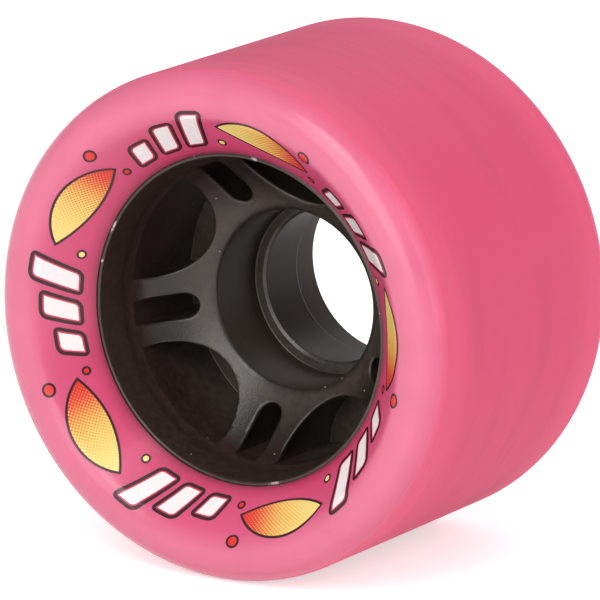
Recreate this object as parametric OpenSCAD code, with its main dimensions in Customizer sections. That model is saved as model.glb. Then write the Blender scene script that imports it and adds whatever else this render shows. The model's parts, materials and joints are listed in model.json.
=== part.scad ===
// Quad roller skate wheel: a polyurethane tyre cast round a one-piece nylon hub.
// The axle lies along Y, the front of the wheel faces -Y and +Z is up.
// The origin is on the axle, midway between the tyre's two side beads.

/* [Tyre] */
// Outside diameter of the tyre
tyre_d = 62; // [58:0.5:70]
// Width of the tyre over its two beads
tyre_w = 42; // [38:0.5:46]
// Radius of the round bead between each side face and the tread
bead_r = 3.5; // [2.5:0.1:5]
// Depth of the hub's lip behind the foremost line of the bead
lip_depth = 6.2; // [4:0.1:8]

/* [Hub rim] */
// Radius of the lip, where each side face of the tyre ends
lip_r = 20.2; // [19.5:0.1:21.5]
// Thickness of the rim's edge at the lip
lip_t = 0.5; // [0.3:0.05:0.8]
// Length of the taper inside the front lip
lip_taper = 3.4; // [2:0.1:4]
// How far that taper draws in
taper_in = 0.5; // [0.2:0.05:0.8]
// Thickness of the rim behind the taper
rim_t = 2.6; // [2:0.1:3.2]
// Height of the two key flanges over the rim
flange_h = 1.8; // [1.2:0.1:3]
// Width of each key flange
flange_w = 2.4; // [1.6:0.1:3]
// Distance between the middles of the two key flanges
flange_gap = 14; // [10:0.5:18]
// Number of key lugs between the flanges
lug_n = 20; // [12:1:24]
// Width of each key lug round the rim
lug_w = 3; // [2:0.1:3.6]
// Height of the flat top of the key lugs over the rim
lug_h = 1.1; // [0.8:0.05:1.5]

/* [Web] */
// Height of the web's front at the bearing seat, ahead of the wheel's middle
web_in = 2.4; // [1:0.1:4]
// Rise of the web's dish from there to the rim's inside, before the fillet
web_rise = 6.1; // [4.5:0.1:7]
// Radius of the fillet between the dish and the rim
web_fillet = 5; // [3:0.1:6]
// Number of double spokes
spoke_n = 5; // [3:1:6]
// Angle of the first slot, from +X towards +Z
slot_turn = 44.8; // [0:0.1:72]
// Width of the slot down the middle of each double spoke
slot_w = 2.86; // [2:0.02:3.4]
// Radius of the round pockets between the spokes
pocket_r = 8.2; // [7:0.1:8.6]
// Step from the barrel's outside to the inner edge of a pocket
pocket_step = 0.2; // [0.1:0.05:1]
// Step from the barrel's outside to the inner end of a slot
slot_step = 0.55; // [0.1:0.05:1.5]
// Step from the rim's inside to the outer wall of pockets and slots
wall_step = 0.3; // [0.1:0.05:1]
// Depth of the front pockets' floor behind the wheel's middle
floor_depth = 4; // [2:0.1:6]
// Thickness of that floor, the disc between front and back pockets
floor_t = 2.5; // [1.5:0.1:4]

/* [Bearing barrel] */
// Diameter of the two bearing seats
seat_d = 22; // [19:0.1:24]
// Lead-in at the mouth of each seat
lead_in = 0.25; // [0.1:0.05:0.5]
// Depth of the front seat from its mouth to the shoulder
front_seat = 8.7; // [7:0.1:10]
// Depth of the back seat from its mouth to the shoulder
back_seat = 6.2; // [5:0.1:7.2]
// Length of the shoulder that keeps the bearings apart
shoulder_l = 7.4; // [6:0.1:8.4]
// Height of the shoulder inside the seats
shoulder_h = 1.5; // [0.8:0.1:2.5]
// Chamfer on the front edge of the shoulder
shoulder_edge = 0.4; // [0.2:0.05:0.7]
// Wall of the barrel round the back seat
barrel_wall = 1.6; // [1.2:0.1:2.4]
// Depth of the web's back below the barrel's end, at the barrel
back_in = 4.4; // [3:0.1:6]
// Depth of the web's back below the lip, at the rim
back_out = 2.3; // [1:0.1:3.5]

/* [Hidden] */
$fn = 96;
// Spare length by which a cut runs past a face
past = 1;

// Sections lie in a plane of radius and height, with height towards the front of the wheel
tyre_r = tyre_d / 2;
lip_z = tyre_w / 2 - lip_depth;
bead_at = [tyre_r - bead_r, tyre_w / 2 - bead_r];
bowl_r = lip_r - lip_t - taper_in;
rim_r = bowl_r + rim_t;
flange_r = rim_r + flange_h;
seat_r = seat_d / 2;
mouth_r = seat_r + lead_in;
barrel_r = seat_r + barrel_wall;
shoulder_r = seat_r - shoulder_h;
shoulder_front = web_in - front_seat;
shoulder_back = shoulder_front - shoulder_l;
barrel_end = shoulder_back - back_seat;
floor_front = -floor_depth;
floor_back = floor_front - floor_t;

// The side face is a cone from the lip that touches the round of the bead
bead_away = bead_at - [lip_r, lip_z];
face_turn = atan2(bead_away[1], bead_away[0]) + asin(bead_r / norm(bead_away));
face_l = sqrt(bead_away * bead_away - bead_r ^ 2);
face_end = [lip_r, lip_z] + face_l * [cos(face_turn), sin(face_turn)];

// The dish of the web is a ball on the axle, through the seat's mouth and a point at the rim
dish_z = web_in + ((bowl_r ^ 2 - mouth_r ^ 2) / web_rise + web_rise) / 2;
dish_r = norm([mouth_r, dish_z - web_in]);
// The fillet touches the rim's inside and the ball
fillet_r = bowl_r - web_fillet;
fillet_z = dish_z - sqrt((dish_r - web_fillet) ^ 2 - fillet_r ^ 2);
fillet_end = fillet_r * dish_r / (dish_r - web_fillet);

// The rim's outside from its front lip to its back lip: what the tyre is cast round
function flange_points(z) = [
    [rim_r, z + flange_w / 2],
    [flange_r, z + flange_w / 2],
    [flange_r, z - flange_w / 2],
    [rim_r, z - flange_w / 2]
];
rim_slope = rim_r - lip_r;
rim_outside = concat(
    [[lip_r, lip_z], [rim_r, lip_z - rim_slope]],
    flange_points(flange_gap / 2),
    flange_points(-flange_gap / 2),
    [[rim_r, rim_slope - lip_z], [lip_r, -lip_z]]
);

// Turns a part built on an upright axle so that its top faces the front
module face_front() {
    rotate([90, 0, 0]) children();
}

// Tread, cone-shaped side faces and the hollow for the rim
module tyre_section() {
    polygon(concat(
        rim_outside,
        [
            [face_end[0], -face_end[1]],
            [bead_at[0], -bead_at[1]],
            [tyre_r, -bead_at[1]],
            [tyre_r, bead_at[1]],
            bead_at,
            face_end
        ]
    ));
    for (side = [-1, 1])
        translate([bead_at[0], side * bead_at[1]]) circle(bead_r);
}

// Lugs that stand up between the key flanges and stop the tyre turning on the rim.
// The first one is in line with the first slot.
module key_lugs() {
    lug_root = bowl_r + rim_t / 2;
    lug_r = rim_r + lug_h;
    for (i = [0 : lug_n - 1])
        rotate(slot_turn + i * 360 / lug_n)
            translate([lug_root, -lug_w / 2, -flange_gap / 2])
                cube([lug_r - lug_root, lug_w, flange_gap]);
}

// Hollow in front of the web: a tapered lip, the rim's inside, the fillet and the dish
module bowl_section() {
    translate([0, fillet_z]) square([bowl_r, lip_z - fillet_z + past]);
    polygon([
        [0, lip_z - lip_taper],
        [bowl_r, lip_z - lip_taper],
        [lip_r - lip_t, lip_z],
        [lip_r - lip_t, lip_z + past],
        [0, lip_z + past]
    ]);
    translate([fillet_r, fillet_z]) circle(web_fillet);
    intersection() {
        translate([0, dish_z]) circle(dish_r);
        square([fillet_end, lip_z]);
    }
}

// Hollow behind the web, round the end of the barrel
module back_section() {
    polygon([
        [barrel_r, barrel_end - past],
        [barrel_r, barrel_end + back_in],
        [bowl_r, back_out - lip_z],
        [lip_r - lip_t, -lip_z],
        [lip_r - lip_t, barrel_end - past]
    ]);
}

// One seat as a section: a straight wall and its lead-in, open at the given mouth
module seat_section(mouth, shoulder) {
    out = sign(mouth - shoulder);
    polygon([
        [0, shoulder],
        [seat_r, shoulder],
        [seat_r, mouth - out * lead_in],
        [mouth_r, mouth],
        [mouth_r, mouth + out * past],
        [0, mouth + out * past]
    ]);
}

// Bore through the shoulder, with its front edge broken
module shoulder_section() {
    polygon([
        [0, shoulder_back - past],
        [shoulder_r, shoulder_back - past],
        [shoulder_r, shoulder_front - shoulder_edge],
        [shoulder_r + shoulder_edge, shoulder_front],
        [shoulder_r + shoulder_edge, shoulder_front + past],
        [0, shoulder_front + past]
    ]);
}

module hub_section() {
    difference() {
        polygon(concat(
            [[0, lip_z]],
            rim_outside,
            [[barrel_r, barrel_end], [0, barrel_end]]
        ));
        bowl_section();
        back_section();
        seat_section(web_in, shoulder_front);
        seat_section(barrel_end, shoulder_back);
        shoulder_section();
    }
}

// Plan of the round pockets and of the slots that split each spoke in two
module coring_plan() {
    step = 360 / spoke_n;
    slot_at = barrel_r + slot_step + slot_w / 2;
    pocket_at = barrel_r + pocket_step + pocket_r;
    intersection() {
        circle(bowl_r - wall_step);
        for (i = [0 : spoke_n - 1])
            rotate(slot_turn + i * step) {
                translate([slot_at, 0]) circle(slot_w / 2);
                translate([slot_at, -slot_w / 2]) square([bowl_r, slot_w]);
                rotate(step / 2) translate([pocket_at, 0]) circle(pocket_r);
            }
    }
}

module tyre() {
    color("#ea7a98") face_front() difference() {
        rotate_extrude() tyre_section();
        key_lugs();
    }
}

module hub() {
    color("#2a2826") face_front() difference() {
        union() {
            rotate_extrude() hub_section();
            key_lugs();
        }
        translate([0, 0, floor_front]) linear_extrude(lip_z - floor_front) coring_plan();
        translate([0, 0, barrel_end]) linear_extrude(floor_back - barrel_end) coring_plan();
    }
}

tyre();
hub();
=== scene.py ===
import json
import math
import bmesh
import bpy
from mathutils import Matrix, Vector


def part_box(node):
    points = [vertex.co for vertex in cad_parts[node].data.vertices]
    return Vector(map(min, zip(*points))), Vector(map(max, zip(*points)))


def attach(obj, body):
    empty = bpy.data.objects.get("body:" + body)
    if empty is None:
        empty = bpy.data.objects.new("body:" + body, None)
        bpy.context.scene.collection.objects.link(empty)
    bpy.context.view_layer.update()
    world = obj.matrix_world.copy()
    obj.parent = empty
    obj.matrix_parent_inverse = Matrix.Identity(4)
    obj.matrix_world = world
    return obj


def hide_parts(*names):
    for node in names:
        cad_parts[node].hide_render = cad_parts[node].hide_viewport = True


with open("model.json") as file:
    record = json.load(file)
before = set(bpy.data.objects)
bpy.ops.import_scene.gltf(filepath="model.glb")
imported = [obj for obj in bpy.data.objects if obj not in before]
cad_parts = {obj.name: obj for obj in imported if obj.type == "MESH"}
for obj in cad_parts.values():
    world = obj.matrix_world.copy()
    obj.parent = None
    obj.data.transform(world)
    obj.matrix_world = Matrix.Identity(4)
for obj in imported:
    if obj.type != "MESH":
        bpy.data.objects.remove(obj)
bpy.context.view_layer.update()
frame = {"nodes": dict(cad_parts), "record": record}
mm = 0.001
weldSpun, weldCut = 0.0001 * mm, 0.001 * mm  # how near points become one, after a spin and after a cut
print("frame: nodes", sorted(frame["nodes"]))


# Shared helpers for shapes

def arcPoints(centre, radius, start, end, steps):  # a round stretch of a section, angles in degrees
    turns = [math.radians(start + (end - start) * i / steps) for i in range(steps + 1)]
    return [(centre[0] + radius * math.cos(a), centre[1] + radius * math.sin(a)) for a in turns]


def linePoints(start, end, steps):  # a straight stretch, without its last point
    return [tuple(a + (b - a) * i / steps for a, b in zip(start, end)) for i in range(steps)]


def allParts(mesh):
    return mesh.verts[:] + mesh.edges[:] + mesh.faces[:]


def spinSection(mesh, points, steps):  # turns a closed section of (radius, place along the axle)
    verts = [mesh.verts.new((r * mm, y * mm, 0)) for r, y in points]
    edges = [mesh.edges.new((verts[i - 1], verts[i])) for i in range(len(verts))]
    bmesh.ops.spin(mesh, geom=verts + edges, cent=(0, 0, 0), axis=(0, 1, 0),
                   angle=2 * math.pi, steps=steps, use_merge=True)
    bmesh.ops.remove_doubles(mesh, verts=mesh.verts, dist=weldSpun)
    bmesh.ops.recalc_face_normals(mesh, faces=mesh.faces)


def loftLoops(mesh, loops):  # a closed solid through rings of points that all have the same count
    rings = []
    for loop in loops:
        verts = [mesh.verts.new(p) for p in loop]
        rings.append([mesh.edges.new((verts[i - 1], verts[i])) for i in range(len(verts))])
    for low, high in zip(rings, rings[1:]):
        bmesh.ops.bridge_loops(mesh, edges=low + high)
    for ring in (rings[0], rings[-1]):
        bmesh.ops.edgenet_fill(mesh, edges=ring)


def newPiece(name, mesh, materials=()):
    data = bpy.data.meshes.new(name)
    mesh.to_mesh(data)
    mesh.free()
    piece = bpy.data.objects.new(name, data)
    bpy.context.scene.collection.objects.link(piece)
    for material in materials:
        data.materials.append(material)
    return piece


def carve(piece, tool, operation):  # cuts the tool out of a piece, or adds it, and drops the tool
    modifier = piece.modifiers.new("carve", "BOOLEAN")
    modifier.operation = operation
    modifier.object = tool
    modifier.solver = "EXACT"
    graph = bpy.context.evaluated_depsgraph_get()
    shaped = bpy.data.meshes.new_from_object(piece.evaluated_get(graph))
    piece.modifiers.clear()
    piece.data = shaped
    bpy.data.objects.remove(tool)


def smoothFaces(piece, sharpAngle):  # smooth shading, with edges over the angle kept sharp
    mesh = bmesh.new()
    mesh.from_mesh(piece.data)
    bmesh.ops.remove_doubles(mesh, verts=mesh.verts, dist=weldCut)
    for face in mesh.faces:
        face.smooth = True
    for edge in mesh.edges:
        edge.smooth = len(edge.link_faces) == 2 and edge.calc_face_angle() < math.radians(sharpAngle)
    mesh.to_mesh(piece.data)
    mesh.free()


# Sizes that the pieces share, in mm: what the frame gives, and the section behind it

tyreLow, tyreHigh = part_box("tyre")
hubLow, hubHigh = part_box("hub")
seatRadius = frame["record"]["mounts"][0]["dims"]["r_mm"]
rim = {
    "lip": 20.2,          # radius of the edge where tyre and hub meet
    "lipY": -hubLow.y / mm,
    "under": 21.8,        # radius of the rim under the tyre
    "flange": 23.6,
    "flangeWidth": 2.4,
    "flangeGap": 14.0,
    "lugs": 20,
    "lugWidth": 3.0,
    "lugRoot": 20.5,
    "lugTop": 22.9,
    "firstSlot": 44.8,    # degrees from +X towards +Z
}


def rimOutside():  # the rim from its front lip to its back lip, which the tyre is cast round
    slope = rim["under"] - rim["lip"]
    half = [(rim["lip"], rim["lipY"]), (rim["under"], rim["lipY"] - slope)]
    middle = rim["flangeGap"] / 2
    for r, h in ((rim["under"], 1), (rim["flange"], 1), (rim["flange"], -1), (rim["under"], -1)):
        half.append((r, middle + h * rim["flangeWidth"] / 2))
    return [(r, -h) for r, h in half] + [(r, h) for r, h in reversed(half)]


def keyLugs():  # lugs between the flanges that stop the tyre turning on the rim
    mesh = bmesh.new()
    height = rim["lugTop"] - rim["lugRoot"]
    middle = (rim["lugTop"] + rim["lugRoot"]) / 2
    size = Matrix.Diagonal((height * mm, rim["flangeGap"] * mm, rim["lugWidth"] * mm, 1))
    for i in range(rim["lugs"]):
        turn = Matrix.Rotation(-math.radians(rim["firstSlot"] + 360 * i / rim["lugs"]), 4, "Y")
        bmesh.ops.create_cube(mesh, size=1, matrix=turn @ Matrix.Translation((middle * mm, 0, 0)) @ size)
    return newPiece("lugTool", mesh)


# Tyre: cast polyurethane, with moulded side faces and a ground tread

tyre = {
    "radius": tyreHigh.x / mm,
    "halfWidth": tyreHigh.y / mm,
    "bead": 3.5,
    "groundFrom": 7.0,          # degrees of the bead, up from the tread, that the grinding reaches
    "edgeColour": "#e75b7e",    # of the tread beside the beads
    "sharpAngle": 40,
    "steps": 320,               # round the wheel, then along each stretch of the section
    "faceSteps": 10,
    "beadSteps": 28,
    "edgeSteps": 5,
    "treadSteps": 10,
}
beadCentre = (tyre["radius"] - tyre["bead"], tyre["halfWidth"] - tyre["bead"])
beadAway = (beadCentre[0] - rim["lip"], beadCentre[1] - rim["lipY"])
faceTurn = math.atan2(beadAway[1], beadAway[0]) + math.asin(tyre["bead"] / math.hypot(*beadAway))
faceLength = math.sqrt(math.hypot(*beadAway) ** 2 - tyre["bead"] ** 2)


def sideFace(along):  # point and outward normal on the front side face, at a length along it from the lip
    if along <= faceLength:
        point = (rim["lip"] + along * math.cos(faceTurn), rim["lipY"] + along * math.sin(faceTurn))
        normal = (-math.sin(faceTurn), math.cos(faceTurn))
    else:
        turn = faceTurn + math.pi / 2 - (along - faceLength) / tyre["bead"]
        normal = (math.cos(turn), math.sin(turn))
        point = tuple(c + tyre["bead"] * n for c, n in zip(beadCentre, normal))
    return point, normal


def makeTyre(moulded, ground):
    groundFrom = tyre["groundFrom"]
    bead = arcPoints(beadCentre, tyre["bead"], math.degrees(faceTurn) + 90, groundFrom, tyre["beadSteps"])
    edge = arcPoints(beadCentre, tyre["bead"], groundFrom, 0, tyre["edgeSteps"])
    tread = (tyre["radius"], 0)
    front = linePoints((rim["lip"], rim["lipY"]), bead[0], tyre["faceSteps"]) + bead + edge[1:-1]
    front += linePoints(edge[-1], tread, tyre["treadSteps"])
    section = [(r, -h) for r, h in front] + [tread] + [(r, h) for r, h in reversed(front)]
    mesh = bmesh.new()
    spinSection(mesh, section + rimOutside()[-2:0:-1], tyre["steps"])
    piece = newPiece("urethaneTyre", mesh, (moulded, ground))
    carve(piece, keyLugs(), "DIFFERENCE")
    groundY = (beadCentre[1] + tyre["bead"] * math.sin(math.radians(groundFrom))) * mm
    for face in piece.data.polygons:
        outside = math.hypot(face.center.x, face.center.z) > beadCentre[0] * mm
        face.material_index = 1 if outside and abs(face.center.y) < groundY else 0
    smoothFaces(piece, tyre["sharpAngle"])
    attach(piece, "root")
    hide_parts("tyre")
    print("tyre:", len(piece.data.polygons), "faces")


# Hub: one nylon moulding, with a bowl, double spokes, pockets and a stepped bearing barrel

hub = {
    "lipWidth": 0.5,
    "taper": 3.4,               # length of the taper inside the lip
    "bowl": 19.2,               # radius of the rim's inside
    "fillet": 5.0,
    "webIn": 2.4,               # how far the web stands ahead of the wheel's middle at the seat's mouth
    "webRise": 6.1,
    "leadIn": 0.25,
    "mouthEase": 0.5,           # degrees of the dish left off at the mouth, where its edge is blunted
    "mouthBlunt": (0.048, 0.06),  # how far the lead-in starts behind the dish and ends outside the seat
    "frontSeat": 8.7,
    "shoulder": 7.4,
    "shoulderRadius": 9.5,
    "seatFillet": 0.2,          # between the front seat and the shoulder's face
    "shoulderBevel": 0.45,      # width of the bevel between that face and the bore
    "bevelSlope": 33.0,
    "bevelRounds": (0.2, 0.1),  # where the bevel leaves the face, and where it meets the bore
    "backRound": 0.4,           # on the shoulder's back edge
    "barrel": 12.6,
    "backIn": 4.4,              # depth of the web's back below the barrel's end
    "backOut": 2.3,             # and below the lip, at the rim
    "edge": 0.12,               # radius left on the sharp edges of the moulding
    "lipRound": 0.24,
    "lipGroove": 0.25,          # width of the fine groove between the lip and the tyre
    # Scuffs on the lip: middle and half length in degrees
    "scuffs": ((-75.3, 5.0), (83.2, 3.2), (107.5, 1.2), (152.2, 4.6), (165.8, 1.6)),
    "wallBand": 0.02,           # how near a face's radius is to that of a turned wall
    "sharpAngle": 38,
    "steps": 240,               # round the wheel, then along each stretch of the section
    "lipSteps": 5,
    "filletSteps": 16,
    "dishSteps": 18,
    "seatSteps": 6,
    "bevelSteps": (4, 5),
    "backSteps": 8,
}
mouthRadius = seatRadius + hub["leadIn"]
dishY = hub["webIn"] + ((hub["bowl"] ** 2 - mouthRadius ** 2) / hub["webRise"] + hub["webRise"]) / 2
dishRadius = math.hypot(mouthRadius, dishY - hub["webIn"])
filletR = hub["bowl"] - hub["fillet"]
filletY = dishY - math.sqrt((dishRadius - hub["fillet"]) ** 2 - filletR ** 2)
filletEnd = math.degrees(math.atan2(dishY - filletY, filletR))
barrelEnd = hubHigh.y / mm
shoulderFront = hub["frontSeat"] - hub["webIn"]
shoulderBack = shoulderFront + hub["shoulder"]


def webFront(r):  # place along the axle of the web's front, from its dish and its fillet
    if r < filletR + hub["fillet"] * math.cos(math.radians(filletEnd)):
        return math.sqrt(dishRadius ** 2 - r ** 2) - dishY
    return math.sqrt(max(hub["fillet"] ** 2 - (r - filletR) ** 2, 0)) - filletY


def webBack(r):  # and of its back, a cone between barrel and rim
    inner = barrelEnd - hub["backIn"]
    outer = rim["lipY"] - hub["backOut"]
    return inner + (outer - inner) * (r - hub["barrel"]) / (hub["bowl"] - hub["barrel"])


def frontSection():  # from the lip down the bowl and over the dish to the seat's lead-in
    brow, lipInside = hub["lipRound"], rim["lip"] - hub["lipWidth"]
    mouthTurn = math.degrees(math.atan2(dishY - hub["webIn"], mouthRadius)) - hub["mouthEase"]
    behind, aside = hub["mouthBlunt"]
    points = arcPoints((lipInside + brow, brow - rim["lipY"]), brow, 270, 180, hub["lipSteps"])
    points += [(hub["bowl"], hub["taper"] - rim["lipY"])]
    points += arcPoints((filletR, -filletY), hub["fillet"], 0, filletEnd, hub["filletSteps"])
    points += arcPoints((0, -dishY), dishRadius, filletEnd, mouthTurn, hub["dishSteps"])[1:]
    return points + [(mouthRadius, behind - hub["webIn"]), (seatRadius + aside, hub["leadIn"] - hub["webIn"])]


def barrelSection():  # both seats, and the shoulder with its bevel between them
    bore, slope = hub["shoulderRadius"], hub["bevelSlope"]
    fillet, blunt = hub["seatFillet"], hub["backRound"]
    soft, tight = hub["bevelRounds"]
    softSteps, tightSteps = hub["bevelSteps"]
    inset = hub["leadIn"] + hub["edge"]
    bend = 270 - slope
    points = [(seatRadius, inset - hub["webIn"])]
    points += arcPoints((seatRadius - fillet, shoulderFront - fillet), fillet, 0, 90, hub["seatSteps"])
    points += arcPoints((bore + hub["shoulderBevel"], shoulderFront + soft), soft, 270, bend, softSteps)
    low = arcPoints((bore + tight, 0), tight, bend, 180, tightSteps)
    fall = (points[-1][0] - low[0][0]) * math.tan(math.radians(slope))
    drop = points[-1][1] + fall - low[0][1]
    points += [(r, h + drop) for r, h in low]
    points += arcPoints((bore + blunt, shoulderBack - blunt), blunt, 180, 90, hub["seatSteps"])
    return points + [(seatRadius, shoulderBack), (seatRadius, barrelEnd - inset)]


def backSection():  # the barrel's end, the web's back and the back lip
    lipY, edge, barrel, bowl = rim["lipY"], hub["edge"], hub["barrel"], hub["bowl"]
    lipInside = rim["lip"] - hub["lipWidth"]
    points = [(mouthRadius, barrelEnd), (barrel - edge, barrelEnd), (barrel, barrelEnd - edge)]
    points += linePoints((barrel, webBack(barrel)), (bowl, webBack(bowl)), hub["backSteps"])
    return points + [(bowl, webBack(bowl)), (lipInside, lipY - edge), (lipInside + edge, lipY)]


def hubSection():
    groove = hub["lipGroove"]
    under = groove * math.sqrt(0.5)
    lip = [(rim["lip"] + under, under - rim["lipY"]), (rim["lip"] - groove, -rim["lipY"])]
    return frontSection() + barrelSection() + backSection() + rimOutside()[:0:-1] + lip


coring = {
    "spokes": 5,
    "slotHalf": 1.43,
    "slotEnd": 14.58,     # radius of the middle of a slot's round end
    "pocket": 8.2,
    "pocketAt": 21.0,     # radius of a pocket's middle
    "outer": 18.9,        # outer wall of pockets and slots
    "floorFront": 4.0,
    "floorBack": 6.5,
    "round": 0.4,         # round on the edges at the web's face
    "roundBends": (0, 20, 40, 60),
    "floorRound": 0.12,
    "floorBends": (0, 30, 60, 90),
    "wallEnd": 0.88,      # depth below the web's face at which the straight wall ends
    "clear": 0.3,         # how far the last slope runs on past the face, so that the cut is a clean one
    "past": 8.0,          # and the whole tool past the lip
    "skim": 0.02,         # how far the back pockets brush the barrel, so that no sliver stays
    "endSteps": 16,       # along a slot's end, its sides and its outer wall, then a pocket's two arcs
    "sideSteps": 8,
    "slotWallSteps": 8,
    "pocketSteps": 40,
    "pocketWallSteps": 28,
}


def slotPlan(grow, outer):  # outline of a slot along +X, grown by an offset
    half = coring["slotHalf"] + grow
    reach = math.degrees(math.asin(half / outer))
    end = arcPoints((coring["slotEnd"], 0), half, 270, 90, coring["endSteps"])
    side = math.sqrt(outer ** 2 - half ** 2)
    up = linePoints(end[-1], (side, half), coring["sideSteps"])
    down = linePoints((side, -half), end[0], coring["sideSteps"])
    return end[:-1] + up + arcPoints((0, 0), outer, reach, -reach, coring["slotWallSteps"])[:-1] + down


def pocketPlan(grow, outer):  # outline of a pocket along +X, grown by an offset
    radius, middle = coring["pocket"] + grow, coring["pocketAt"]
    cornerX = (outer ** 2 + middle ** 2 - radius ** 2) / (2 * middle)
    corner = math.degrees(math.acos(cornerX / outer))
    swing = math.degrees(math.acos((middle - cornerX) / radius))
    inner = arcPoints((middle, 0), radius, 180 + swing, 180 - swing, coring["pocketSteps"])
    return inner[:-1] + arcPoints((0, 0), outer, corner, -corner, coring["pocketWallSteps"])[:-1]


def coringLoops(plan, turn, floor, surface, out, inside):  # rings from the floor up to the rounded edge
    def ring(grow, shrink, level):
        points = []
        for x, z in plan(grow, coring["outer"] - shrink):
            r = max(math.hypot(x, z), inside)
            a = math.atan2(z, x) + math.radians(turn)
            points.append((r * math.cos(a) * mm, level(r) * mm, r * math.sin(a) * mm))
        return points

    loops = []
    for bend in map(math.radians, coring["floorBends"]):
        drawn = coring["floorRound"] * (1 - math.sin(bend))
        lift = coring["floorRound"] * (1 - math.cos(bend))
        loops.append(ring(-drawn, drawn, lambda r: floor + out * lift))
    loops.append(ring(0, 0, lambda r: surface(r) - out * coring["wallEnd"]))
    for bend in map(math.radians, coring["roundBends"]):
        sink = coring["round"] * (1 - math.sin(bend))
        grow = coring["round"] * (1 - math.cos(bend))
        loops.append(ring(grow, 0, lambda r: surface(r) - out * sink))
    grow += (sink + coring["clear"]) * math.tan(bend)
    loops.append(ring(grow, 0, lambda r: surface(r) + out * coring["clear"]))
    loops.append(ring(grow, 0, lambda r: out * (rim["lipY"] + coring["past"])))
    return loops


def makeCoring():  # pockets and slots of both sides as one cutting tool
    mesh = bmesh.new()
    step = 360 / coring["spokes"]
    inside = hub["barrel"] - coring["skim"]
    for i in range(coring["spokes"]):
        turn = rim["firstSlot"] + i * step
        for plan, at in ((slotPlan, turn), (pocketPlan, turn + step / 2)):
            loftLoops(mesh, coringLoops(plan, at, coring["floorFront"], webFront, -1, 0))
            loftLoops(mesh, coringLoops(plan, at, coring["floorBack"], webBack, 1, inside))
    bmesh.ops.recalc_face_normals(mesh, faces=mesh.faces)
    return newPiece("coringTool", mesh)


def makeHub(moulded, turned):
    mesh = bmesh.new()
    spinSection(mesh, hubSection(), hub["steps"])
    piece = newPiece("nylonHub", mesh)
    carve(piece, keyLugs(), "UNION")
    carve(piece, makeCoring(), "DIFFERENCE")
    piece.data.materials.clear()
    for material in (moulded, turned):
        piece.data.materials.append(material)
    for face in piece.data.polygons:  # the walls of the bore and of the seats are turned
        radius = math.hypot(face.center.x, face.center.z) / mm
        nearest = min(abs(radius - wall) for wall in (hub["shoulderRadius"], seatRadius))
        face.material_index = 1 if nearest < hub["wallBand"] else 0
    smoothFaces(piece, hub["sharpAngle"])
    weighted = piece.modifiers.new("evenNormals", "WEIGHTED_NORMAL")
    weighted.keep_sharp = True
    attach(piece, "root")
    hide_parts("hub")
    print("hub:", len(piece.data.polygons), "faces")


# Print: a thin film of ink on the front side face, a plain row of bars and leaves round the wheel

ink = {
    "groups": 5,
    "firstGroup": 128.0,  # degrees from +X towards +Z; the groups run clockwise from there
    "gauge": 24.0,        # radius at which lengths round the wheel are counted
    "lift": 0.012,        # gap that keeps the film clear of the tyre's facets
    "film": 0.03,
    "outline": 0.45,      # width of the dark line round a bar
    "keyline": 0.2,
    "leafOutline": 0.315,
    "dotOutline": 0.27,
    "barWidth": 3.5,
    "barPitch": 4.15,
    "barStart": 2.3,
    "barFoot": 1.6,       # places across the film are lengths along the side face from the lip
    "barTops": (5.6, 7.1, 8.6),
    "barLean": 0.35,
    "barCorner": 0.9,
    "cornerSteps": 5,
    "leafStart": 15.4,
    "leafLength": 13.4,
    "leafMiddle": 5.0,
    "leafRise": (3.0, 2.5),
    "leafTilt": -8.0,
    "dots": ((14.8, 2.4, 0.65), (28.4, 7.8, 0.85), (29.1, 2.7, 0.6)),
    "curveSteps": 24,
    "cells": (0.7, 0.45),  # size of the cells that let the film bend, round the wheel and across
    "snap": 0.001,        # how near a cut between cells takes a point that is there
}


def inkMotif(mesh, points, corner, bands, fill):  # one flat motif, inset once for each line
    known = set(mesh.faces)
    verts = [mesh.verts.new((s, t, 0)) for s, t in points]
    mesh.faces.new(verts)
    if corner:
        bmesh.ops.bevel(mesh, geom=verts, offset=corner, segments=ink["cornerSteps"], profile=0.5,
                        affect="VERTICES", material=-1)
    face = [f for f in mesh.faces if f not in known][0]
    face.normal_update()
    if face.normal.z < 0:
        face.normal_flip()
    for width, colour in bands:
        ring = bmesh.ops.inset_region(mesh, faces=[face], thickness=width,
                                      use_boundary=True, use_even_offset=True)
        for band in ring["faces"]:
            band.material_index = colour
    face.material_index = fill


def inkGroup(mesh):  # growing bars, a leaf and some dots, flat
    dark, rose, white, warm = range(4)
    half, foot = ink["barWidth"] / 2, ink["barFoot"]
    for i, top in enumerate(ink["barTops"]):
        s = ink["barStart"] + i * ink["barPitch"]
        lean = ink["barLean"] * (top - foot)
        corners = ((s - half, foot), (s + half, foot), (s + half + lean, top), (s - half + lean, top))
        inkMotif(mesh, corners, ink["barCorner"], ((ink["outline"], dark), (ink["keyline"], rose)), white)
    reach = ink["leafLength"] / 2
    edge = []
    for rise, way in zip(ink["leafRise"], (1, -1)):
        radius = (reach ** 2 + rise ** 2) / (2 * rise)
        swing = way * math.degrees(math.asin(reach / radius))
        bow = arcPoints((0, rise - radius), radius, 90 + swing, 90 - swing, ink["curveSteps"])
        edge += [(x, way * y) for x, y in bow[:-1]]
    middle = Vector((ink["leafStart"] + reach, ink["leafMiddle"]))
    tilt = Matrix.Rotation(math.radians(ink["leafTilt"]), 2)
    leaf = [middle + tilt @ Vector(point) for point in edge]
    inkMotif(mesh, leaf, 0, ((ink["leafOutline"], dark),), warm)
    for s, t, radius in ink["dots"]:
        dot = arcPoints((s, t), radius, 0, 360, ink["curveSteps"])[:-1]
        inkMotif(mesh, dot, 0, ((ink["dotOutline"], dark),), warm)


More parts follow.
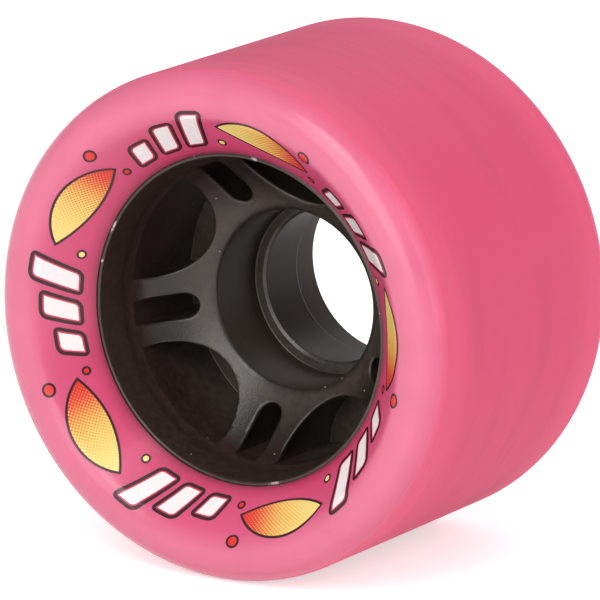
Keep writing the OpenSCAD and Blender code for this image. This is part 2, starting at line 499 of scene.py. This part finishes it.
def makePrint(inks):
    mesh = bmesh.new()
    inkGroup(mesh)
    for i, size in enumerate(ink["cells"]):
        across = Vector((1 - i, i, 0))
        low = min(v.co[i] for v in mesh.verts)
        high = max(v.co[i] for v in mesh.verts)
        for k in range(1, math.ceil((high - low) / size)):
            bmesh.ops.bisect_plane(mesh, geom=allParts(mesh), dist=ink["snap"],
                                   plane_co=across * (low + k * size), plane_no=across)
    plan = mesh.loops.layers.uv.new("inkPlan")
    for face in mesh.faces:
        for loop in face.loops:
            loop[plan].uv = loop.vert.co.xy
    raised = bmesh.ops.extrude_face_region(mesh, geom=mesh.faces[:], use_keep_orig=True)["geom"]
    top = [part for part in raised if isinstance(part, bmesh.types.BMVert)]
    bmesh.ops.translate(mesh, verts=top, vec=(0, 0, ink["film"]))
    for vert in mesh.verts:  # the flat group is laid on the side face
        s, t, height = vert.co
        point, normal = sideFace(t)
        r, h = (p + n * (height + ink["lift"]) for p, n in zip(point, normal))
        turn = math.radians(ink["firstGroup"]) - s / ink["gauge"]
        vert.co = Vector((r * math.cos(turn), -h, r * math.sin(turn))) * mm
    bmesh.ops.recalc_face_normals(mesh, faces=mesh.faces)
    copies = ink["groups"] - 1
    bmesh.ops.spin(mesh, geom=allParts(mesh), cent=(0, 0, 0), axis=(0, 1, 0),
                   angle=2 * math.pi / ink["groups"] * copies, steps=copies, use_duplicate=True)
    piece = newPiece("inkPrint", mesh, inks)
    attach(piece, "root")
    print("print:", len(piece.data.polygons), "faces")


# Shared helpers for materials, which return the output of the node that they add

def linearColour(hexText):  # sRGB hex to the linear colour that shaders take
    parts = [int(hexText[i:i + 2], 16) / 255 for i in (1, 3, 5)]
    linear = [c / 12.92 if c <= 0.04045 else ((c + 0.055) / 1.055) ** 2.4 for c in parts]
    return (*linear, 1.0)


def addNode(tree, kind, values=None, links=None, stops=(), **settings):  # stops are the colours of a ramp
    node = tree.nodes.new(kind)
    for name, value in settings.items():
        setattr(node, name, value)
    for i, (at, colour) in enumerate(stops):
        element = node.color_ramp.elements[i] if i < 2 else node.color_ramp.elements.new(at)
        element.position = at
        element.color = linearColour(colour)
    for socket, value in (values or {}).items():
        node.inputs[socket].default_value = value
    for socket, source in (links or {}).items():
        tree.links.new(source, node.inputs[socket])
    return node


def newMaterial(name):
    material = bpy.data.materials.new(name)
    material.use_nodes = True
    material.node_tree.nodes.clear()
    return material, material.node_tree


def objectPlace(tree):
    return addNode(tree, "ShaderNodeTexCoord").outputs["Object"]


def axleRadius(tree, place):  # distance from the axle
    flat = addNode(tree, "ShaderNodeVectorMath", {1: (1, 0, 1)}, {0: place}, operation="MULTIPLY")
    away = addNode(tree, "ShaderNodeVectorMath", links={0: flat.outputs[0]}, operation="LENGTH")
    return away.outputs["Value"]


def roundLines(tree, place, squeeze):  # draws a pattern out into lines round the axle
    return addNode(tree, "ShaderNodeMapping", {"Scale": (squeeze, 1, squeeze)}, {"Vector": place}).outputs[0]


def noiseOf(tree, place, size, detail=3.0):  # size of the pattern in mm
    values = {"Scale": 1 / (size * mm), "Detail": detail}
    return addNode(tree, "ShaderNodeTexNoise", values, {"Vector": place}).outputs[0]


def mapRange(tree, source, start, end, low=0.0, high=1.0, **settings):
    values = {"From Min": start, "From Max": end, "To Min": low, "To Max": high}
    return addNode(tree, "ShaderNodeMapRange", values, {"Value": source}, **settings).outputs[0]


def spread(tree, noise, low, high):  # the usual range of a noise, brought to the range wanted
    return mapRange(tree, noise, 0.3, 0.7, low, high)


def combine(tree, operation, *sources):
    return addNode(tree, "ShaderNodeMath", links=dict(enumerate(sources)), operation=operation).outputs[0]


def rampOf(tree, share, stops):
    return addNode(tree, "ShaderNodeValToRGB", links={0: share}, stops=stops).outputs[0]


def mixColour(tree, share, first, second):  # colours are hex text or outputs
    values, links = {}, {0: share}
    for socket, colour in ((6, first), (7, second)):
        if isinstance(colour, str):
            values[socket] = linearColour(colour)
        else:
            links[socket] = colour
    return addNode(tree, "ShaderNodeMix", values, links, data_type="RGBA").outputs[2]


def scaleColour(tree, colour, shade):
    links = {0: colour, "Scale": shade}
    return addNode(tree, "ShaderNodeVectorMath", links=links, operation="SCALE").outputs[0]


def bumpOf(tree, height, strength, distance):  # distance in mm
    values = {"Strength": strength, "Distance": distance * mm}
    return addNode(tree, "ShaderNodeBump", values, {"Height": height}).outputs[0]


def shadeWith(tree, values, links):  # the shader, and the material's output
    shader = addNode(tree, "ShaderNodeBsdfPrincipled", values, links)
    addNode(tree, "ShaderNodeOutputMaterial", links={"Surface": shader.outputs[0]})


# Materials

urethaneDepth = {
    "Subsurface Weight": 0.15,
    "Subsurface Scale": 2.0 * mm,
    "Subsurface Radius": (1.0, 0.35, 0.45),
}
nylonShine = {"IOR": 1.53, "Specular Tint": (1.0, 0.95, 0.9, 1.0)}
inkShine = {"IOR": 1.5, "Specular IOR Level": 0.36}


def mouldedUrethane():
    # Cast polyurethane off a polished mould: glossy and a little cloudy, with painted shade darkening it
    # towards the hub's lip
    material, tree = newMaterial("mouldedUrethane")
    place = objectPlace(tree)
    across = mapRange(tree, axleRadius(tree, place), rim["lip"] * mm, tyre["radius"] * mm)
    bead, end = 0.95, 0.998  # shares of the way from the lip to the tread
    # Painted shade: darker towards the lip, where the face dips against the hub; paler over the bead
    tintWithPaintedShade = rampOf(tree, across, (
        (0.0, "#962f4e"), (0.045, "#c14168"), (0.12, "#d64d77"), (0.4, "#de5b83"),
        (0.58, "#de7190"), (0.8, "#e07593"), (bead, "#df698c"), (end, tyre["edgeColour"])))
    cloud = spread(tree, noiseOf(tree, place, 7.0, detail=2.0), 0.965, 1.03)
    colour = scaleColour(tree, tintWithPaintedShade, cloud)
    polish = spread(tree, noiseOf(tree, place, 1.6), 0.18, 0.26)
    # The end of the bead is dulled where the grinding of the tread runs out
    dulled = mapRange(tree, across, bead, end, 0.0, 0.36, interpolation_type="SMOOTHSTEP")
    rough = combine(tree, "ADD", polish, dulled)
    # The real skin is finer, drawn so that it shows
    bump = bumpOf(tree, noiseOf(tree, place, 0.35), 0.05, 0.05)
    shadeWith(tree, {"IOR": 1.52, "Specular IOR Level": 0.36, **urethaneDepth},
              {"Base Color": colour, "Roughness": rough, "Normal": bump})
    return material


def groundUrethane():
    # The same urethane ground on a lathe: satin, paler towards the beads, with soft darker streaks round it
    material, tree = newMaterial("groundUrethane")
    place = objectPlace(tree)
    along = addNode(tree, "ShaderNodeSeparateXYZ", links={0: place}).outputs[1]
    middle = combine(tree, "ABSOLUTE", along)
    fade = mapRange(tree, middle, 9.5 * mm, beadCentre[1] * mm, interpolation_type="SMOOTHSTEP")
    base = mixColour(tree, fade, "#dc5175", tyre["edgeColour"])
    # Grinding lines are finer, drawn so that they show
    around = roundLines(tree, place, 0.12)
    streak = mapRange(tree, noiseOf(tree, around, 3.0, detail=1.0), 0.25, 0.55, 0.94, 1.0)
    colour = scaleColour(tree, base, streak)
    line = noiseOf(tree, around, 0.6)
    rough = spread(tree, line, 0.54, 0.62)
    bump = bumpOf(tree, line, 0.03, 0.05)
    shadeWith(tree, {"IOR": 1.5, "Specular IOR Level": 0.22, **urethaneDepth},
              {"Base Color": colour, "Roughness": rough, "Normal": bump})
    return material


def mouldedNylon():
    # Black nylon off a satin mould: softly grained, with a broad sheen, painted paler in the pockets,
    # dusty, and scuffed at the lip
    material, tree = newMaterial("mouldedNylon")
    place = objectPlace(tree)
    x, y, z = addNode(tree, "ShaderNodeSeparateXYZ", links={0: place}).outputs
    radius = axleRadius(tree, place)
    # Painted light: the pockets are painted paler, for light that reaches into them
    floor = (coring["floorFront"] + coring["floorBack"]) / 2 * mm
    away = addNode(tree, "ShaderNodeMath", {1: floor}, {0: y}, operation="SUBTRACT").outputs[0]
    pocketLightDepth = mapRange(tree, combine(tree, "ABSOLUTE", away), 3.0 * mm, 11.0 * mm, 1.0, 0.0)
    outside = mapRange(tree, radius, 11.5 * mm, 12.0 * mm)
    pocket = combine(tree, "MULTIPLY", pocketLightDepth, outside)
    # Painted light and shade by radius, in mm: the shoulder's face is painted paler for the light it catches
    # deep in the seat, the web darkens towards the rim with painted shade, and the bowl's wall is paler and
    # warmer
    reach = 20.0
    skinPaintedLightAndShade = rampOf(tree, mapRange(tree, radius, 0.0, reach * mm), [(r / reach, colour) for r, colour in (
        (10.75, "#3f3732"), (10.95, "#2f2a27"), (12.5, "#2f2a27"),
        (15.0, "#1a1511"), (17.6, "#16110e"), (19.0, "#382b28"))])
    base = mixColour(tree, pocket, skinPaintedLightAndShade, "#443a34")
    mottle = spread(tree, noiseOf(tree, place, 0.9), 0.75, 1.3)
    nylon = scaleColour(tree, base, mottle)
    # Specks of dust, larger than life
    specks = addNode(tree, "ShaderNodeTexVoronoi", {"Scale": 1 / (2.4 * mm)}, {"Vector": place})
    dust = mapRange(tree, specks.outputs["Distance"], 0.025, 0.05, 0.6, 0.0)
    # Scuffs on the edge of the lip, broken up by the grain
    grain = noiseOf(tree, place, 0.3)
    turn = mapRange(tree, combine(tree, "ARCTAN2", z, x), -math.pi, math.pi)
    marks = []
    for middle, half in hub["scuffs"]:
        for at, colour in ((-half, "#000000"), (0, "#ffffff"), (half, "#000000")):
            marks.append(((middle + at + 180) / 360, colour))
    scuff = combine(tree, "MULTIPLY", rampOf(tree, turn, marks), grain)
    bare = mapRange(tree, scuff, 0.25, 0.45, 0.0, 0.8)
    front = mapRange(tree, y, (0.08 - rim["lipY"]) * mm, (0.02 - rim["lipY"]) * mm)
    lip = combine(tree, "MULTIPLY", bare, front)
    colour = mixColour(tree, combine(tree, "MAXIMUM", dust, lip), nylon, "#d8d0cb")
    rough = spread(tree, noiseOf(tree, place, 0.6), 0.285, 0.345)
    bump = bumpOf(tree, grain, 0.2, 0.1)
    shadeWith(tree, {"Specular IOR Level": 0.5, **nylonShine},
              {"Base Color": colour, "Roughness": rough, "Normal": bump})
    return material


def turnedNylon():
    # The same nylon off a turned steel pin, which leaves the bore and the seats dull, with faint rings
    material, tree = newMaterial("turnedNylon")
    place = objectPlace(tree)
    outer = mapRange(tree, axleRadius(tree, place), hub["shoulderRadius"] * mm, seatRadius * mm)
    base = mixColour(tree, outer, "#31251c", "#3c322b")
    # Turning lines are finer, drawn so that they show
    line = noiseOf(tree, roundLines(tree, place, 0.1), 0.5)
    colour = scaleColour(tree, base, spread(tree, line, 0.85, 1.15))
    rough = spread(tree, line, 0.42, 0.5)
    bump = bumpOf(tree, line, 0.1, 0.05)
    shadeWith(tree, {"Specular IOR Level": 0.12, **nylonShine},
              {"Base Color": colour, "Roughness": rough, "Normal": bump})
    return material


def plainInk(name, hexText):
    # Screen ink: opaque, a little uneven in density, with the gloss of the face that it lies on
    material, tree = newMaterial(name)
    place = objectPlace(tree)
    density = spread(tree, noiseOf(tree, place, 0.5), 0.95, 1.02)
    colour = addNode(tree, "ShaderNodeVectorMath", {0: linearColour(hexText)[:3]}, {"Scale": density},
                     operation="SCALE").outputs[0]
    polish = spread(tree, noiseOf(tree, place, 1.6), 0.2, 0.26)
    shadeWith(tree, inkShine, {"Base Color": colour, "Roughness": polish})
    return material


def halftoneInk():
    # The same ink in two printings: yellow, then dots that grow to a solid red, coarser than real ones
    material, tree = newMaterial("halftoneInk")
    plan = addNode(tree, "ShaderNodeUVMap", uv_map="inkPlan").outputs[0]
    along = addNode(tree, "ShaderNodeSeparateXYZ", links={0: plan}).outputs[0]
    fade = mapRange(tree, along, ink["leafStart"], ink["leafStart"] + ink["leafLength"])
    turned = {"Rotation": (0, 0, math.radians(45))}
    screen = addNode(tree, "ShaderNodeMapping", turned, {"Vector": plan}).outputs[0]
    pitch, largest, blur = 0.36, 0.68, 0.06  # of the dots, the last two as shares of the pitch
    cells = addNode(tree, "ShaderNodeTexVoronoi", {"Scale": 1 / pitch, "Randomness": 0.0},
                    {"Vector": screen}, voronoi_dimensions="2D").outputs["Distance"]
    size = addNode(tree, "ShaderNodeMath", {1: largest}, {0: fade}, operation="MULTIPLY").outputs[0]
    dot = mapRange(tree, combine(tree, "SUBTRACT", size, cells), -blur, blur)
    under = rampOf(tree, fade, ((0.0, "#fce68f"), (0.6, "#fbd876"), (1.0, "#f2994a")))
    over = rampOf(tree, fade, ((0.0, "#f3b25a"), (0.5, "#ee8a42"), (0.8, "#e4413a"), (1.0, "#e0302f")))
    shadeWith(tree, {"Roughness": 0.26, **inkShine}, {"Base Color": mixColour(tree, dot, under, over)})
    return material


makeTyre(mouldedUrethane(), groundUrethane())
makeHub(mouldedNylon(), turnedNylon())
makePrint((plainInk("outlineInk", "#3b2126"), plainInk("roseInk", "#d43d63"),
           plainInk("whiteInk", "#fbf4f4"), halftoneInk()))


# Stage: pale floor, plain soft light, white background

stage = {
    "floorColour": "#fafafa",
    "floorRadius": 2.6,
    "floorSteps": 64,
    "cove": 0.5,                # radius of the sweep up at the floor's edge, which hides the horizon
    "coveSteps": 12,
    "floorGlow": (0.54, 0.6),   # what the camera sees besides the lit colour, by the wheel and far away
    "glowReach": (0.2, 1.5),    # distances from the wheel between which that changes
    "fill": 0.44,               # strength of the even light from all round
    "panels": (
        {"name": "keyPanel", "azimuth": 12, "elevation": 46, "width": 0.30, "height": 0.30, "glow": 6.0},
        {"name": "frontPanel", "azimuth": 8, "elevation": 21, "width": 0.60, "height": 0.44, "glow": 3.1},
        {"name": "sidePanel", "azimuth": 100, "elevation": 16, "width": 0.80, "height": 0.80, "glow": 1.2},
        {"name": "backPanel", "azimuth": 195, "elevation": 35, "width": 0.50, "height": 0.40, "glow": 1.2},
    ),
    "panelDistance": 0.8,
}


def whiteToCamera(tree):  # 1 for what is seen directly, mirrored or through glass
    path = addNode(tree, "ShaderNodeLightPath").outputs
    seen = combine(tree, "MAXIMUM", path["Is Camera Ray"], path["Is Glossy Ray"])
    return combine(tree, "MAXIMUM", seen, path["Is Transmission Ray"])


def makeFloor():
    material, tree = newMaterial("paleFloor")
    lit = addNode(tree, "ShaderNodeBsdfDiffuse", {"Color": linearColour(stage["floorColour"])})
    away = addNode(tree, "ShaderNodeVectorMath", links={0: objectPlace(tree)}, operation="LENGTH")
    level = mapRange(tree, away.outputs["Value"], *stage["glowReach"], *stage["floorGlow"])
    strength = combine(tree, "MULTIPLY", level, whiteToCamera(tree))
    glow = addNode(tree, "ShaderNodeEmission", links={"Strength": strength})
    both = addNode(tree, "ShaderNodeAddShader", links={0: lit.outputs[0], 1: glow.outputs[0]})
    addNode(tree, "ShaderNodeOutputMaterial", links={"Surface": both.outputs[0]})
    mesh = bmesh.new()
    cove = stage["cove"]
    sweep = arcPoints((stage["floorRadius"], tyreLow.z + cove), cove, 270, 360, stage["coveSteps"])
    verts = [mesh.verts.new((r, 0, z)) for r, z in [(0, tyreLow.z)] + sweep]
    edges = [mesh.edges.new(pair) for pair in zip(verts, verts[1:])]
    bmesh.ops.spin(mesh, geom=verts + edges, cent=(0, 0, 0), axis=(0, 0, 1),
                   angle=2 * math.pi, steps=stage["floorSteps"], use_merge=True)
    bmesh.ops.remove_doubles(mesh, verts=mesh.verts, dist=mm)
    for face in mesh.faces:
        face.smooth = True
        face.normal_update()
        if face.normal.z < 0:
            face.normal_flip()
    newPiece("floor", mesh, (material,))


def makeWorld():
    world = bpy.data.worlds.new("studio")
    world.use_nodes = True
    tree = world.node_tree
    tree.nodes.clear()
    even = addNode(tree, "ShaderNodeBackground", {"Color": (1, 1, 1, 1), "Strength": stage["fill"]})
    addNode(tree, "ShaderNodeOutputWorld", links={"Surface": even.outputs[0]})
    bpy.context.scene.world = world


def standAt(azimuth, elevation):  # direction from the wheel in degrees, and the turn that looks back along it
    a, e = math.radians(azimuth), math.radians(elevation)
    away = Vector((math.sin(a) * math.cos(e), -math.cos(a) * math.cos(e), math.sin(e)))
    return away, away.to_track_quat("Z", "Y")


def softbox(name, azimuth, elevation, width, height, glow):  # a panel that faces the wheel
    away, turn = standAt(azimuth, elevation)
    light = bpy.data.lights.new(name, "AREA")
    light.shape = "RECTANGLE"
    light.size, light.size_y = width, height
    light.energy = glow * math.pi * width * height
    panel = bpy.data.objects.new(name, light)
    panel.matrix_world = Matrix.Translation(away * stage["panelDistance"]) @ turn.to_matrix().to_4x4()
    bpy.context.scene.collection.objects.link(panel)


makeFloor()
makeWorld()
for panel in stage["panels"]:
    softbox(**panel)
print("stage:", len(stage["panels"]), "panels")


# Camera: a long lens from the front right, a little above

camera = {
    "azimuth": 32.135,
    "elevation": 13.496,
    "distance": 0.8303,
    "pixels": 600,
    "focalPixels": 6898.94,
    "centre": (304.206, 295.787),  # where the wheel's middle falls in the picture
    "sensor": 36,
    "clip": (0.05, 20),
}


def makeCamera():
    back, turn = standAt(camera["azimuth"], camera["elevation"])
    perPixel = camera["distance"] / camera["focalPixels"]
    middle = camera["pixels"] / 2
    x, y = camera["centre"]
    aside = turn @ Vector(((middle - x) * perPixel, (y - middle) * perPixel, 0))
    data = bpy.data.cameras.new("photoView")
    data.sensor_width = camera["sensor"]
    data.lens = camera["sensor"] * camera["focalPixels"] / camera["pixels"]
    data.clip_start, data.clip_end = camera["clip"]
    view = bpy.data.objects.new("photoView", data)
    view.matrix_world = Matrix.Translation(aside + back * camera["distance"]) @ turn.to_matrix().to_4x4()
    bpy.context.scene.collection.objects.link(view)
    bpy.context.scene.camera = view


makeCamera()
bpy.context.scene.view_settings.view_transform = "Standard"

print("scene ready")
